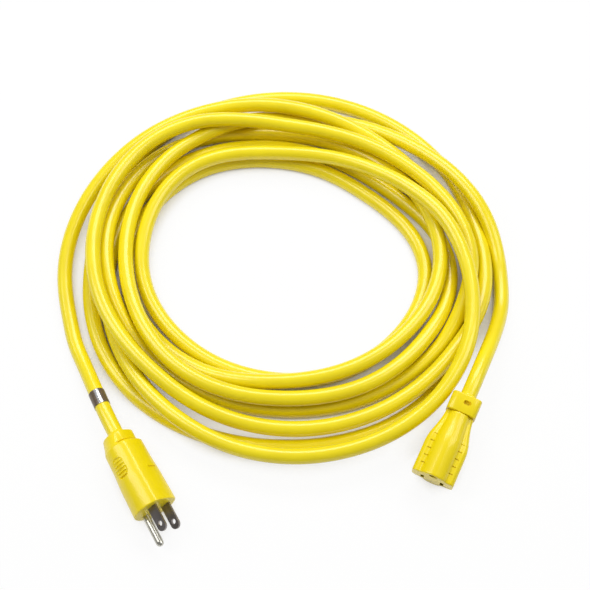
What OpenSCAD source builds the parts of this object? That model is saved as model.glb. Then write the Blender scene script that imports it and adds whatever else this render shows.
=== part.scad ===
// Grounded extension cord: a round-jacket three-wire cord in a loose coil,
// with a moulded straight-blade plug on one end and a moulded connector on the other.
// Millimetres, +Z up, standing on Z = 0.

/* [Cord] */
// Outer diameter of the jacketed cord
cord_d = 10; // [9.6:0.1:10.2]
// Outer diameter of each insulated conductor
wire_d = 3.1; // [2.6:0.1:3.3]
// Diameter of each bundle of bare copper strands
strand_d = 1.9; // [1.4:0.1:2.2]

/* [Coil] */
// Room kept between one strand of the coil and the next
lay_room = 1.7; // [1.6:0.1:2.4]

/* [Plug] */
// Overall length of the plug's moulding, collar included
plug_len = 53; // [51:0.5:58]
// Radius of the plug's moulding at its face
plug_face_r = 13.7; // [13.4:0.1:15]
// Radius of the plug's moulding at its rear shoulder
plug_rear_r = 12.3; // [12.1:0.1:13.2]
// Height of the plug's flat side above its axis, at the face
plug_flat = 11.8; // [11.2:0.1:12.6]
// Length of the collar behind the plug's moulding
plug_collar_len = 7; // [5:0.5:9]
// Diameter of the plug's collar
plug_collar_d = 19.6; // [17:0.1:22]
// How far the blades stand out of the face
blade_len = 16.5; // [15.9:0.1:18.3]
// Width of a blade
blade_w = 6.35; // [6.1:0.05:6.6]
// Thickness of a blade
blade_t = 1.52; // [1.4:0.01:1.65]
// Diameter of the hole near each blade's tip
blade_hole_d = 3.2; // [2.8:0.1:3.6]
// How far the ground pin stands out of the face
pin_len = 20.6; // [19.5:0.1:21.5]
// Diameter of the ground pin
pin_d = 4.77; // [4.6:0.01:4.9]

/* [Connector] */
// Overall length of the connector's moulding, collar included
conn_len = 56; // [54:0.5:60]
// Width of the connector across its side wings
conn_w = 27; // [25:0.5:30]
// Height of the side wings' upper face above the axis
wing_top = 7.1; // [6:0.1:8]
// Height of the connector's rounded top above the axis
arch_top = 12.5; // [12.3:0.1:13.5]
// Radius of the rounded top
arch_r = 9; // [8.4:0.1:10]
// Radius of the keel along the underside
keel_r = 6; // [4.5:0.1:7]
// Length of the collar behind the connector's neck
conn_collar_len = 12; // [9:0.5:13]
// Width of the connector's collar
conn_collar_w = 19.2; // [17:0.1:22]
// Height of the connector's collar
conn_collar_h = 16.6; // [15:0.1:19]
// Length of the neutral slot, the longer one
neutral_slot = 8.2; // [7.6:0.1:8.4]
// Length of the line slot
line_slot = 6.8; // [6.7:0.1:7.4]
// Width of both slots
slot_w = 2.2; // [1.9:0.1:2.5]
// Diameter of the round ground opening
ground_hole_d = 5.4; // [5.1:0.1:5.8]

/* [Label] */
// Length of the foil label along the cord
label_len = 11; // [8:0.5:12]
// Thickness of the foil label
label_t = 0.25; // [0.2:0.05:0.4]

/* [Hidden] */

$fn = 48;

// Standard spacing: blade to blade, and ground pin to the line through the blades
blade_pitch = 12.7;
ground_drop = 11.9;
// The blades' line lies this far off the cord's axis, away from the ground pin
blade_off = 3.3;
ground_off = blade_off - ground_drop;
// Room round a piece that is moulded in
gap = 0.06;
// Wall of a crimp barrel, and its length
barrel_wall = 0.85;
barrel_len = 6;
barrel_d = strand_d + 2 * barrel_wall;
// The three conductors lie together in the jacket, a little apart
wire_ring_r = (wire_d + 0.4) / sqrt(3);

// ---- Where things lie on the floor ----

coil_at = [0, 24];
// Ends of the two collars, where the cord goes in
plug_at = [-102, -100.5];
conn_at = [116, -78.5];
plug_heading = -60.3;
conn_heading = -115.6;
// The plug lies rolled over on its round side; the connector rests on its keel, nose down
plug_roll = -52;
conn_tip = 8;

// ---- Plug, along +X from the collar's end, blades' line up ----

plug_jacket_in = 12;
plug_groove = 1.2;
plug_body_x = plug_collar_len + plug_groove;
bridge_x = 26;
plug_face_wall = 7;
bridge_end = plug_len - plug_face_wall;
plate_x = bridge_x + barrel_len + 4;
// The ground pin is thinner inside the moulding, up to just in front of its face
pin_root_d = pin_d - 0.5;
pin_shoulder = 0.4;
plug_rear_flat = plug_flat - 1.3;
plug_wires = [[-blade_pitch / 2, blade_off], [blade_pitch / 2, blade_off], [0, ground_off]];
wire_angles = [150, 30, -90];

// ---- Connector, along +X from the collar's end, ground opening up ----

conn_jacket_in = 14;
conn_face_wall = 2.6;
neck_x = conn_collar_len + 0.8;
full_x = 32;
carrier_x = full_x;
carrier_end = conn_len - conn_face_wall;
contact_t = 0.6;
contact_end = carrier_end - 0.4;
sleeve_d = pin_d + 1.15;
sleeve_bore_d = pin_d + 0.15;
slot_off = -blade_off;
hole_off = -ground_off;
wing_bottom = slot_off - 5.5;
conn_wires = [[-blade_pitch / 2, slot_off], [blade_pitch / 2, slot_off], [0, hole_off]];
conn_angles = [-150, -30, 90];

// Heights of the two cord ends above the floor
plug_h = plug_face_r;
conn_h = (keel_r - wing_bottom) * cos(conn_tip) + conn_len * sin(conn_tip);

// ---- The coil's loops, from the plug's end ----

// Eight bearings to a loop, clockwise from the front left:
// front left, left, back left, back, back right, right, front right, front
bearings = 8;
rings_per_loop = 24;
first_bearing = 225;
// Distance of each loop from the coil's middle
loop_r = [
    [141, 147, 136, 120, 117, 126, 134, 128],
    [129, 126, 136, 139, 139, 136, 127, 120],
    [118, 125, 127, 104, 109, 127, 113, 103],
    [107, 118, 123, 106, 105, 107, 94, 88],
    [98, 107, 100, 87, 82, 97, 91, 85],
    [87, 96, 98, 84, 93, 119, 140, 138],
    [127, 119, 110, 96, 95, 115, 110, 100],
    [104, 106, 114, 117, 130, 147, 140, 130],
];
// How many strands lie under each loop there
loop_z = [
    [0, 0, 1, 1, 0.4, 0, 0, 0],
    [0, 0, 0, 0, 0, 0.5, 1, 0.8],
    [1, 1.8, 1.9, 1.2, 1, 1.3, 0, 0],
    [0, 1, 0.2, 0, 0.4, 1, 1, 1],
    [0, 0, 0, 0, 0, 0, 0, 0],
    [0.2, 0.4, 0.9, 1, 1.3, 2.2, 1.4, 0.9],
    [1, 0, 0, 0, 0, 0, 1, 1],
    [1, 1, 1, 0.3, 0.2, 0.4, 0, 0],
];
first_ring = 2;
last_ring = 7 * rings_per_loop + 15;
settle_rounds = 90;
// The pull towards the plan fades out over the rounds, and the last ones go without it
free_rounds = 15;
// A strand on the floor is pressed flat by a tenth of its diameter
floor_h = 0.4 * cord_d;

// ---- The free stretches, from each collar to the coil: plan position and height ----

plug_route = [
    [-112.5, -81, 12.5], [-118, -70, 10], [-123.5, -58.5, 7.5], [-129.5, -46, 5],
];
conn_route = [
    [128.5, -51.5, 20.5], [136, -35, 14.5], [141.5, -21, 9], [145.5, -8, 5],
];

// ---- Functions ----

function sum(v, i = 0) = i == len(v) ? 0 : v[i] + sum(v, i + 1);
function unit(v) = v / norm(v);

// Smooth curve through b and c, at t from 0 to 1
function between(a, b, c, d, t) =
    b + 0.5 * t * (c - a + t * (2 * a - 5 * b + 4 * c - d + t * (3 * (b - c) + d - a)));

function plan_value(plan, i) =
    let (k = max(0, min(len(plan) * bearings - 1, i)))
    plan[floor(k / bearings)][k % bearings];

// A plan's value at a ring of the coil
function at_ring(plan, ring) =
    let (s = ring * bearings / rings_per_loop, i = floor(s))
    between(plan_value(plan, i - 1), plan_value(plan, i), plan_value(plan, i + 1),
            plan_value(plan, i + 2), s - i);

// How far the strands at the same bearing push ring k, outward and upward
function push(r, z, k, clear) =
    let (shoves = [
        for (j = [k % rings_per_loop : rings_per_loop : len(r) - 1])
            let (a = r[k] - r[j], b = z[k] - z[j], d = norm([a, b]))
            if (j != k && d < clear) [0.35 * a, 0.6 * b] * (clear - d) / d])
    [sum([for (s = shoves) s[0]]), sum([for (s = shoves) s[1]])];

// Strands push each other apart, sag a little, and keep near their plan
function settle(r, z, plan_r, clear, rounds) =
    rounds == 0 ? [r, z] :
    let (
        n = len(r),
        p = [for (k = [0 : n - 1]) push(r, z, k, clear)],
        off = [for (k = [0 : n - 1]) r[k] + p[k][0] - plan_r[k]],
        pz = [for (k = [0 : n - 1]) z[k] + p[k][1] - 0.03],
        pull = 0.08 * max(0, rounds - free_rounds) / (settle_rounds - free_rounds),
        nr = [for (k = [0 : n - 1]) k < 2 || k > n - 3 ? r[k] :
            plan_r[k] + (1 - pull) * off[k] + 0.12 * ((off[k - 1] + off[k + 1]) / 2 - off[k])],
        nz = [for (k = [0 : n - 1]) max(floor_h, k < 1 || k > n - 2 ? pz[k] :
            pz[k] + 0.12 * ((pz[k - 1] + pz[k + 1]) / 2 - pz[k]))])
    settle(nr, nz, plan_r, clear, rounds - 1);

function bearing(ring) = first_bearing - ring * 360 / rings_per_loop;

// Centre line of the coil, with a straight run of one diameter at each end
function coil_line() =
    let (
        r0 = [for (k = [first_ring : last_ring]) at_ring(loop_r, k)],
        z0 = [for (k = [first_ring : last_ring]) floor_h + max(0, at_ring(loop_z, k)) * cord_d],
        s = settle(r0, z0, r0, cord_d + lay_room, settle_rounds),
        n = len(r0),
        line = [for (i = [0 : n - 1]) let (a = bearing(i + first_ring))
            [coil_at[0] + s[0][i] * cos(a), coil_at[1] + s[0][i] * sin(a), s[1][i]]])
    concat([line[0] - cord_d * along(first_ring)], line, [line[n - 1] + cord_d * along(last_ring)]);

// Direction in which the cord runs round the coil at a ring
function along(ring) = [sin(bearing(ring)), -cos(bearing(ring)), 0];

// Distance from point p to the stretch from a to b
function to_stretch(p, a, b) =
    let (v = b - a, t = max(0, min(1, (p - a) * v / (v * v))))
    norm(p - a - t * v);

// Least gap between the coil's own strands
function least_gap(line) =
    min([for (i = [0 : len(line) - 1], j = [0 : len(line) - 2])
        if (abs(i - j) > rings_per_loop / 2) to_stretch(line[i], line[j], line[j + 1])]) - cord_d;

// From a plug's own axes to the floor
function plug_point(x) = [plug_at[0] + x * cos(plug_heading), plug_at[1] + x * sin(plug_heading), plug_h];
function conn_point(x) =
    let (f = x * cos(conn_tip))
    [conn_at[0] + f * cos(conn_heading), conn_at[1] + f * sin(conn_heading), conn_h - x * sin(conn_tip)];

function plug_lead_line() =
    let (end = coil_line()[0], run = cord_d * along(first_ring))
    concat([for (x = [plug_jacket_in, 0, -cord_d]) plug_point(x)], plug_route, [end - run, end]);

function conn_lead_line() =
    let (line = coil_line(), end = line[len(line) - 1], run = cord_d * along(last_ring))
    concat([for (x = [conn_jacket_in, 0, -cord_d]) conn_point(x)], conn_route, [end + run, end]);

// ---- Round bodies along a line ----

function ring_at(line, i, r, sides, turn) =
    let (
        n = len(line),
        before = unit(line[max(i, 1)] - line[max(i, 1) - 1]),
        after = unit(line[min(i, n - 2) + 1] - line[min(i, n - 2)]),
        t = unit(before + after),
        s = unit(cross(t, [0, 0, 1])),
        u = cross(s, t))
    [for (j = [0 : sides - 1]) let (
        a = turn + j * 360 / sides,
        p = line[i] + r * (cos(a) * s + sin(a) * u))
        [p[0], p[1], max(0, p[2])]];

module tube(line, r, sides, turn) {
    n = len(line);
    points = [for (i = [0 : n - 1]) each ring_at(line, i, r, sides, turn)];
    walls = [for (i = [0 : n - 2], j = [0 : sides - 1])
        let (a = i * sides + j, b = i * sides + (j + 1) % sides)
        each [[a, b, b + sides], [a, b + sides, a + sides]]];
    last = (n - 1) * sides;
    ends = [for (j = [1 : sides - 2]) each [[0, j + 1, j], [last, last + j, last + j + 1]]];
    polyhedron(points, concat(walls, ends));
}

module hollow_tube(line, r_in, r_out, sides, turn) {
    n = len(line);
    in = n * sides;
    points = concat([for (i = [0 : n - 1]) each ring_at(line, i, r_out, sides, turn)],
        [for (i = [0 : n - 1]) each ring_at(line, i, r_in, sides, turn)]);
    walls = [for (i = [0 : n - 2], j = [0 : sides - 1])
        let (a = i * sides + j, b = i * sides + (j + 1) % sides)
        each [[a, b, b + sides], [a, b + sides, a + sides],
            [in + a, in + b + sides, in + b], [in + a, in + a + sides, in + b + sides]]];
    last = (n - 1) * sides;
    ends = [for (j = [0 : sides - 1])
        let (a = j, b = (j + 1) % sides)
        each [[a, in + b, b], [a, in + a, in + b],
            [last + a, last + b, in + last + b], [last + a, in + last + b, in + last + a]]];
    polyhedron(points, concat(walls, ends));
}

// ---- Small building blocks ----

module along_x(x, y = 0, z = 0) translate([x, y, z]) rotate([0, 90, 0]) children();

// Straight round rod from one point towards another, past both
module rod(from, to, r) {
    v = to - from;
    translate(from) rotate([0, acos(v[2] / norm(v)), atan2(v[1], v[0])])
        translate([0, 0, -4]) cylinder(r = r, h = norm(v) + 8);
}

// Conductor i between two planes square to the axis, from the jacket out to its contact
module conductor(x0, x1, angle, goal, r) {
    intersection() {
        translate([x0, -20, -20]) cube([x1 - x0, 40, 40]);
        rod([x0, wire_ring_r * cos(angle), wire_ring_r * sin(angle)], [x1, goal[0], goal[1]], r);
    }
}

module strands(x0, goal) along_x(x0, goal[0], goal[1]) cylinder(d = strand_d, h = barrel_len - 0.8);

module place_plug() translate([plug_at[0], plug_at[1], plug_h])
    rotate([plug_roll, 0, plug_heading]) children();
module place_conn() translate([conn_at[0], conn_at[1], conn_h])
    rotate([0, conn_tip, conn_heading]) children();

// ---- Plug ----

// Blade with its crimp barrel; grown on all sides by g where it is cut out of its neighbours
module blade_form(g) {
    end = plug_len + blade_len;
    translate([plate_x - g, -blade_t / 2 - g, -blade_w / 2 - g])
        cube([end - blade_w / 2 - plate_x + g, blade_t + 2 * g, blade_w + 2 * g]);
    translate([end - blade_w / 2, blade_t / 2 + g, 0]) rotate([90, 0, 0])
        cylinder(r = blade_w / 2 + g, h = blade_t + 2 * g);
    translate([bridge_x + barrel_len - 1, -blade_t / 2 - g, -barrel_d / 2 + 0.4 - g])
        cube([plate_x - bridge_x - barrel_len + 2, blade_t + 2 * g, barrel_d - 0.8 + 2 * g]);
    along_x(bridge_x + gap) cylinder(d = barrel_d + 2 * g, h = barrel_len + g);
}

module blade(goal) {
    color([0.5, 0.49, 0.47]) place_plug() translate([0, goal[0], goal[1]]) difference() {
        blade_form(0);
        translate([plug_len + blade_len - 4.8, 0, 0]) rotate([90, 0, 0])
            cylinder(d = blade_hole_d, h = 4 * blade_t, center = true);
        along_x(bridge_x - 1) cylinder(d = strand_d + 2 * gap, h = barrel_len);
    }
}

module line_blade() blade(plug_wires[0]);
module neutral_blade() blade(plug_wires[1]);

module pin_form(g) {
    tip = plug_len + pin_len;
    shoulder = plug_len + pin_shoulder - bridge_x - gap;
    along_x(bridge_x + gap) rotate_extrude() polygon([
        [0, 0], [barrel_d / 2 + g, 0], [barrel_d / 2 + g, barrel_len],
        [pin_root_d / 2 + g, barrel_len + 1.5 - g], [pin_root_d / 2 + g, shoulder],
        [pin_d / 2 + g, shoulder], [pin_d / 2 + g, tip - bridge_x - gap - 2.4],
        [pin_d / 2 - 0.35 + g, tip - bridge_x - gap - 1], [pin_d / 2 - 1.2 + g, tip - bridge_x - gap - 0.2],
        [0, tip - bridge_x - gap]]);
}

module ground_pin() {
    color([0.78, 0.77, 0.72]) place_plug() translate([0, 0, ground_off]) difference() {
        pin_form(0);
        along_x(bridge_x - 1) cylinder(d = strand_d + 2 * gap, h = barrel_len);
    }
}

// Block that holds the blades and the pin at their spacing
module bridge_form(g) {
    h = blade_w + 2;
    translate([bridge_x - g, -blade_pitch / 2 - 2.05 - g, blade_off - h / 2 - g])
        cube([bridge_end - bridge_x + 2 * g, blade_pitch + 4.1 + 2 * g, h + 2 * g]);
    translate([bridge_x - g, -pin_d / 2 - 0.9 - g, ground_off])
        cube([bridge_end - bridge_x + 2 * g, pin_d + 1.8 + 2 * g, ground_drop - h / 2 + 1]);
    along_x(bridge_x - g, 0, ground_off) cylinder(d = pin_d + 1.1 + 2 * g, h = bridge_end - bridge_x + 2 * g);
}

module blade_bridge() {
    color([0.25, 0.25, 0.26]) place_plug() difference() {
        bridge_form(0);
        for (i = [0, 1]) translate([0, plug_wires[i][0], plug_wires[i][1]]) blade_form(gap);
        translate([0, 0, ground_off]) pin_form(gap);
        for (w = plug_wires) along_x(bridge_x - 1, w[0], w[1]) cylinder(d = barrel_d + 2 * gap, h = 2);
    }
}

module grip_pocket(side) {
    depth = 0.8;
    at = plug_rear_r + 0.3 - depth;
    translate([23, side * at, 0]) rotate([-90 * side, 0, 0]) difference() {
        union() {
            for (x = [-2.2, 2.2]) translate([x, 0, 0]) cylinder(d = 9.2, h = 6);
            translate([-2.2, -4.6, 0]) cube([4.4, 9.2, 6]);
        }
        for (k = [-2 : 2]) translate([k * 2.3, 0, 0]) rotate([0, 0, 35 * side])
            translate([-0.45, -6, -1]) cube([0.9, 12, 8]);
    }
}

module plug_body() {
    slope = atan((plug_flat - plug_rear_flat) / (plug_len - plug_body_x));
    color([0.96, 0.82, 0.05]) place_plug() difference() {
        union() {
            // body of revolution, flattened on the side away from the ground pin
            difference() {
                along_x(plug_body_x) rotate_extrude() polygon([
                    [0, 0], [plug_rear_r - 1.4, 0], [plug_rear_r - 0.4, 0.4], [plug_rear_r, 1.4],
                    [plug_rear_r + 0.2, 12], [plug_face_r - 0.3, 26],
                    [plug_face_r, plug_len - plug_body_x - 0.6], [plug_face_r - 0.6, plug_len - plug_body_x],
                    [0, plug_len - plug_body_x]]);
                translate([plug_body_x, -20, plug_rear_flat]) rotate([0, -slope, 0])
                    translate([-5, 0, 0]) cube([70, 40, 10]);
            }
            // neck and collar
            along_x(plug_collar_len - 1) cylinder(d = plug_collar_d - 3, h = plug_groove + 2);
            intersection() {
                along_x(0) rotate_extrude() polygon([
                    [0, 0], [plug_collar_d / 2 - 0.8, 0], [plug_collar_d / 2, 0.8],
                    [plug_collar_d / 2, plug_collar_len - 0.5], [plug_collar_d / 2 - 0.5, plug_collar_len],
                    [0, plug_collar_len]]);
                translate([-1, -20, -plug_collar_d / 2 + 1.6])
                    cube([plug_collar_len + 2, 40, plug_collar_d - 3.2]);
            }
        }
        // cord's jacket, conductors, bridge, blades and pin
        along_x(-1) cylinder(d = cord_d + 2 * gap, h = plug_jacket_in + 1 + gap);
        for (i = [0 : 2])
            conductor(plug_jacket_in, bridge_x, wire_angles[i], plug_wires[i], wire_d / 2 + gap);
        bridge_form(gap);
        for (i = [0, 1]) translate([0, plug_wires[i][0], plug_wires[i][1]]) blade_form(gap);
        along_x(bridge_end - 1, 0, ground_off) cylinder(d = pin_root_d + 2 * gap, h = plug_face_wall + 2);
        // grips on both sides and the short groove across the flat
        for (side = [-1, 1]) grip_pocket(side);
        translate([27, 1.6, plug_rear_flat + 0.1]) cube([0.9, 8, 4]);
    }
}

module plug_wire(i) place_plug()
    conductor(plug_jacket_in + 2 * gap, bridge_x - gap, wire_angles[i], plug_wires[i], wire_d / 2);
module plug_strands(i) color([0.8, 0.45, 0.25]) place_plug() strands(bridge_x, plug_wires[i]);

module plug_line_wire() color([0.08, 0.08, 0.08]) plug_wire(0);
module plug_neutral_wire() color([0.93, 0.93, 0.9]) plug_wire(1);
module plug_ground_wire() color([0.05, 0.45, 0.15]) plug_wire(2);
module plug_line_strands() plug_strands(0);
module plug_neutral_strands() plug_strands(1);
module plug_ground_strands() plug_strands(2);

// ---- Connector ----

// Outline across the connector: wings, rounded top and keel
function outline(half_w, top, bottom, bevel, ar, at, kr) =
    let (az = at - ar, reach = asin((top - az) / ar))
    concat(
        [[half_w - bevel, bottom], [half_w, bottom + bevel], [half_w, top - bevel], [half_w - bevel, top]],
        [for (k = [0 : 10]) let (a = reach + k * (180 - 2 * reach) / 10) [ar * cos(a), az + ar * sin(a)]],
        [[bevel - half_w, top], [-half_w, top - bevel], [-half_w, bottom + bevel], [bevel - half_w, bottom]],
        [for (k = [0 : 10]) let (a = 180 + k * 18) [kr * cos(a), bottom + kr * sin(a)]]);

// The neck widens into the full outline; share runs from 0 at the collar to 1
function conn_outline(share) =
    let (m = function(small, full) small + share * (full - small))
    outline(m(8, conn_w / 2), m(4.2, wing_top), m(-5.6, wing_bottom), m(1.4, 2), m(6.8, arch_r),
        m(8.6, arch_top), m(3.2, keel_r));

module conn_shell() {
    stations = [[neck_x - 0.6, 0], [15, 0.02], [18, 0.12], [22, 0.36], [26, 0.68], [29, 0.9],
        [full_x, 1], [conn_len - 0.7, 1]];
    rings = [for (s = stations) [for (p = conn_outline(s[1])) [s[0], p[0], p[1]]]];
    m = len(rings[0]);
    n = len(stations);
    // the edge round the face is broken by 0.7
    face = [for (p = conn_outline(1)) [conn_len, p[0] * (1 - 0.7 / 13.5), p[1] * (1 - 0.7 / 12)]];
    points = concat([for (r = rings) each r], face, [[stations[0][0], 0, 0], [conn_len, 0, 0]]);
    walls = [for (i = [0 : n - 1], j = [0 : m - 1])
        let (a = i * m + j, b = i * m + (j + 1) % m)
        each [[a, b + m, b], [a, a + m, b + m]]];
    ends = [for (j = [0 : m - 1])
        let (k = (j + 1) % m)
        each [[j, k, (n + 1) * m], [n * m + k, n * m + j, (n + 1) * m + 1]]];
    polyhedron(points, concat(walls, ends));
}

module rounded_bar(x0, x1, w, h, r) {
    translate([x0, -w / 2 + r, -h / 2]) cube([x1 - x0, w - 2 * r, h]);
    translate([x0, -w / 2, -h / 2 + r]) cube([x1 - x0, w, h - 2 * r]);
    for (y = [-1, 1], z = [-1, 1])
        along_x(x0, y * (w / 2 - r), z * (h / 2 - r)) cylinder(r = r, h = x1 - x0);
}

module carrier_form(g) {
    len = carrier_end - carrier_x;
    half = neutral_slot / 2 + 0.45;
    translate([carrier_x - g, -blade_pitch / 2 - 3 - g, slot_off - half - g])
        cube([len + 2 * g, blade_pitch + 6 + 2 * g, 2 * half + 2 * g]);
    translate([carrier_x - g, -sleeve_d / 2 - 1.2 - g, slot_off])
        cube([len + 2 * g, sleeve_d + 2.4 + 2 * g, hole_off - slot_off + g]);
}

module sleeve_form(g) {
    l = contact_end - carrier_x - gap;
    along_x(carrier_x + gap, 0, hole_off) rotate_extrude() polygon([
        [0, 0], [barrel_d / 2 + g, 0], [barrel_d / 2 + g, barrel_len],
        [sleeve_d / 2 + g, barrel_len + 1.5 - g], [sleeve_d / 2 + g, l + g], [0, l + g]]);
}

module contact_carrier() {
    color([0.9, 0.88, 0.8]) place_conn() difference() {
        carrier_form(0);
        for (i = [0, 1]) {
            along_x(carrier_x - 1, conn_wires[i][0], slot_off) cylinder(d = barrel_d + 2 * gap, h = 9);
            translate([carrier_x + barrel_len + 1, conn_wires[i][0] - 2.2, slot_off - neutral_slot / 2])
                cube([carrier_end - carrier_x, 4.4, neutral_slot]);
        }
        sleeve_form(gap);
        along_x(contact_end, 0, hole_off) cylinder(d = ground_hole_d, h = 1);
    }
}

// Female contact: two sprung leaves that close near the mouth, on a crimp barrel
module leaf_contact(i, height) {
    x0 = carrier_x + barrel_len + 1.2;
    l = contact_end - x0;
    side = [[0, 1], [l - 6, 1], [l - 2.5, 0.72], [l, 1.5]];
    outer = [for (p = side) p + [0, contact_t]];
    color([0.72, 0.6, 0.35]) place_conn() translate([0, conn_wires[i][0], slot_off]) difference() {
        union() {
            translate([x0, 0, -height / 2]) linear_extrude(height) {
                for (s = [-1, 1]) polygon([
                    for (p = side) [p[0], s * p[1]],
                    for (k = [len(outer) - 1 : -1 : 0]) [outer[k][0], s * outer[k][1]]]);
                translate([0, -1 - contact_t]) square([0.8, 2 + 2 * contact_t]);
            }
            along_x(carrier_x + gap) cylinder(d = barrel_d, h = x0 - carrier_x - gap + 0.4);
        }
        along_x(carrier_x - 1) cylinder(d = strand_d + 2 * gap, h = barrel_len);
    }
}

module line_contact() leaf_contact(0, line_slot - 0.4);
module neutral_contact() leaf_contact(1, neutral_slot - 0.4);

module ground_contact() {
    color([0.72, 0.6, 0.35]) place_conn() difference() {
        sleeve_form(0);
        along_x(carrier_x + barrel_len + 3, 0, hole_off) cylinder(d = sleeve_bore_d, h = 40);
        along_x(carrier_x - 1, 0, hole_off) cylinder(d = strand_d + 2 * gap, h = barrel_len);
        // slit that lets the sleeve spring open
        translate([carrier_x + barrel_len + 5, -0.4, hole_off]) cube([40, 0.8, sleeve_d]);
    }
}

module connector_body() {
    color([0.96, 0.82, 0.05]) place_conn() difference() {
        union() {
            conn_shell();
            along_x(conn_collar_len - 1) cylinder(d = 13.4, h = 3);
            difference() {
                rounded_bar(0, conn_collar_len, conn_collar_w, conn_collar_h, 4.5);
                // blind pocket on top of the collar
                translate([conn_collar_len - 6.5, 2.6, conn_collar_h / 2 - 1.2]) {
                    cylinder(d = 2.7, h = 3);
                    translate([0, -1.6, 0]) cylinder(d = 2.7, h = 3);
                    translate([-1.35, -1.6, 0]) cube([2.7, 1.6, 3]);
                }
            }
        }
        along_x(-1) cylinder(d = cord_d + 2 * gap, h = conn_jacket_in + 1 + gap);
        for (i = [0 : 2])
            conductor(conn_jacket_in, carrier_x, conn_angles[i], conn_wires[i], wire_d / 2 + gap);
        carrier_form(gap);
        sleeve_form(gap);
        // slots and round opening through the face
        translate([carrier_end - 1, conn_wires[0][0] - slot_w / 2, slot_off - line_slot / 2])
            cube([conn_face_wall + 2, slot_w, line_slot]);
        translate([carrier_end - 1, conn_wires[1][0] - slot_w / 2, slot_off - neutral_slot / 2])
            cube([conn_face_wall + 2, slot_w, neutral_slot]);
        along_x(contact_end, 0, hole_off) cylinder(d = ground_hole_d, h = conn_face_wall + 2);
        // two rows of short grip marks along the rounded top's foot
        for (k = [0 : 5], s = [-1, 1])
            translate([conn_len - 6.5 - k * 4.9, s * (arch_r + 0.4) - 1.4, wing_top - 0.5]) cube([0.8, 2.8, 3]);
    }
}

module conn_wire(i) place_conn()
    conductor(conn_jacket_in + 2 * gap, carrier_x - gap, conn_angles[i], conn_wires[i], wire_d / 2);
module conn_strands(i) color([0.8, 0.45, 0.25]) place_conn() strands(carrier_x, conn_wires[i]);

module connector_line_wire() color([0.08, 0.08, 0.08]) conn_wire(0);
module connector_neutral_wire() color([0.93, 0.93, 0.9]) conn_wire(1);
module connector_ground_wire() color([0.05, 0.45, 0.15]) conn_wire(2);
module connector_line_strands() conn_strands(0);
module connector_neutral_strands() conn_strands(1);
module connector_ground_strands() conn_strands(2);

// ---- Cord ----

module cord_coil() {
    line = coil_line();
    echo(least_gap = least_gap(line), length = sum([for (i = [1 : len(line) - 1]) norm(line[i] - line[i - 1])]));
    color([0.96, 0.84, 0.06]) tube(line, cord_d / 2, 6, 0);
}

module plug_lead() {
    line = plug_lead_line();
    echo(plug_lead = sum([for (i = [1 : len(line) - 1]) norm(line[i] - line[i - 1])]));
    color([0.96, 0.84, 0.06]) tube(line, cord_d / 2, 12, 15);
}

module connector_lead() {
    line = conn_lead_line();
    echo(connector_lead = sum([for (i = [1 : len(line) - 1]) norm(line[i] - line[i - 1])]));
    color([0.96, 0.84, 0.06]) tube(line, cord_d / 2, 12, 15);
}

module foil_label() {
    a = plug_route[0];
    b = plug_route[1];
    m = (a + b) / 2;
    v = unit(b - a) * label_len / 2;
    color([0.75, 0.76, 0.78])
        hollow_tube([m - v, m + v], cord_d / 2 + gap, cord_d / 2 + gap + label_t, 24, 7.5);
}

cord_coil();
plug_lead();
connector_lead();
foil_label();
plug_body();
blade_bridge();
line_blade();
neutral_blade();
ground_pin();
plug_line_wire();
plug_neutral_wire();
plug_ground_wire();
plug_line_strands();
plug_neutral_strands();
plug_ground_strands();
connector_body();
contact_carrier();
line_contact();
neutral_contact();
ground_contact();
connector_line_wire();
connector_neutral_wire();
connector_ground_wire();
connector_line_strands();
connector_neutral_strands();
connector_ground_strands();
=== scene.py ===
import math

import bmesh
import bpy
from mathutils import Euler, Matrix, Vector


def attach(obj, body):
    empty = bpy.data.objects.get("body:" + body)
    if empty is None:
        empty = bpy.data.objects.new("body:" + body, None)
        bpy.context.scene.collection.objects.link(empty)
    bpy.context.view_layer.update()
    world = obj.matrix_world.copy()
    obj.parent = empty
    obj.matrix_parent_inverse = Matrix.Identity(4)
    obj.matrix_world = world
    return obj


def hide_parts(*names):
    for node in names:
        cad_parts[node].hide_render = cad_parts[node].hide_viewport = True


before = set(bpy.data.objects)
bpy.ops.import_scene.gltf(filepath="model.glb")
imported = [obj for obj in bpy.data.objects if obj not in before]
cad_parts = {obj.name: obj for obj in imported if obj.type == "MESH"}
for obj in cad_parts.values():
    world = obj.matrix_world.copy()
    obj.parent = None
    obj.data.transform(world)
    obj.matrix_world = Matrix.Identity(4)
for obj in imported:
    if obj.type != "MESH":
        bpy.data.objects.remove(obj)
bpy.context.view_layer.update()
MM = 0.001


# ---- Camera -------------------------------------------------------------------------------
def make_camera():
    target = Vector((8.5, 4.3, 0.0)) * MM
    tilt = math.radians(63.5)
    away = 761.0 * MM
    sensor, focal_px, frame_px = 36.0, 1130.0, 590.0
    cam = bpy.data.objects.new("camera", bpy.data.cameras.new("camera"))
    bpy.context.scene.collection.objects.link(cam)
    cam.location = target + away * Vector((0.0, -math.cos(tilt), math.sin(tilt)))
    cam.rotation_euler = Euler((math.pi / 2 - tilt, 0.0, 0.0))
    cam.data.sensor_width = sensor
    cam.data.lens = sensor * focal_px / frame_px
    cam.data.clip_start = 0.01
    bpy.context.scene.camera = cam


make_camera()

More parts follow.
